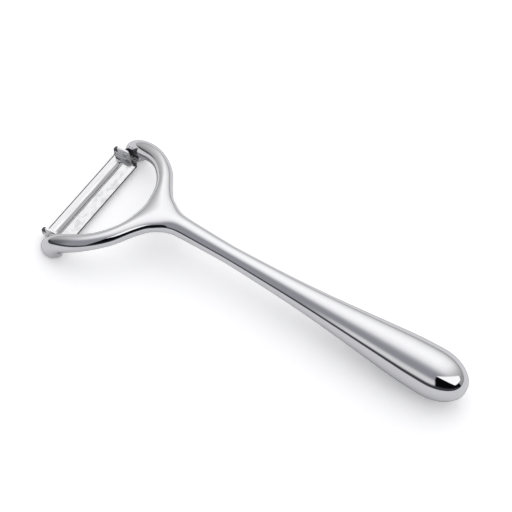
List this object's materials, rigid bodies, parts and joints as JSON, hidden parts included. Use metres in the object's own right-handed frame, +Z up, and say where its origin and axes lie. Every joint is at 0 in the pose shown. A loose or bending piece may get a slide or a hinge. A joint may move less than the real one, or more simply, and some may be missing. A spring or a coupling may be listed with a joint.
{
  "type": "vegetable peeler",
  "caption": "Y-shaped vegetable peeler: a polished metal handle and fork cast in one, with a slotted steel blade that swivels on pins across the fork.",
  "frame": {"origin": "on the table, under the middle of the peeler's length and width", "axes": "+X from the blade to the end of the handle, +Y across the fork along the pivots, +Z up from the table"},
  "size_m": [0.1964, 0.0716, 0.0224],
  "materials": {
    "casting": "mirror polished",
    "blade_steel": "polished, with a finely ground bevel",
    "pin_steel": "satin"
  },
  "bodies": {
    "frame": {"handle_fork": "casting", "pivot_pin_left": "pin_steel", "pivot_pin_right": "pin_steel"},
    "blade": {"blade": "blade_steel"}
  },
  "joints": [
    {"name": "blade_swivel", "type": "hinge", "parent": "frame", "child": "blade", "pos_m": [-0.09158, 0, 0.005], "axis": [0, 1, 0], "range_deg": [-13, 27]}
  ]
}
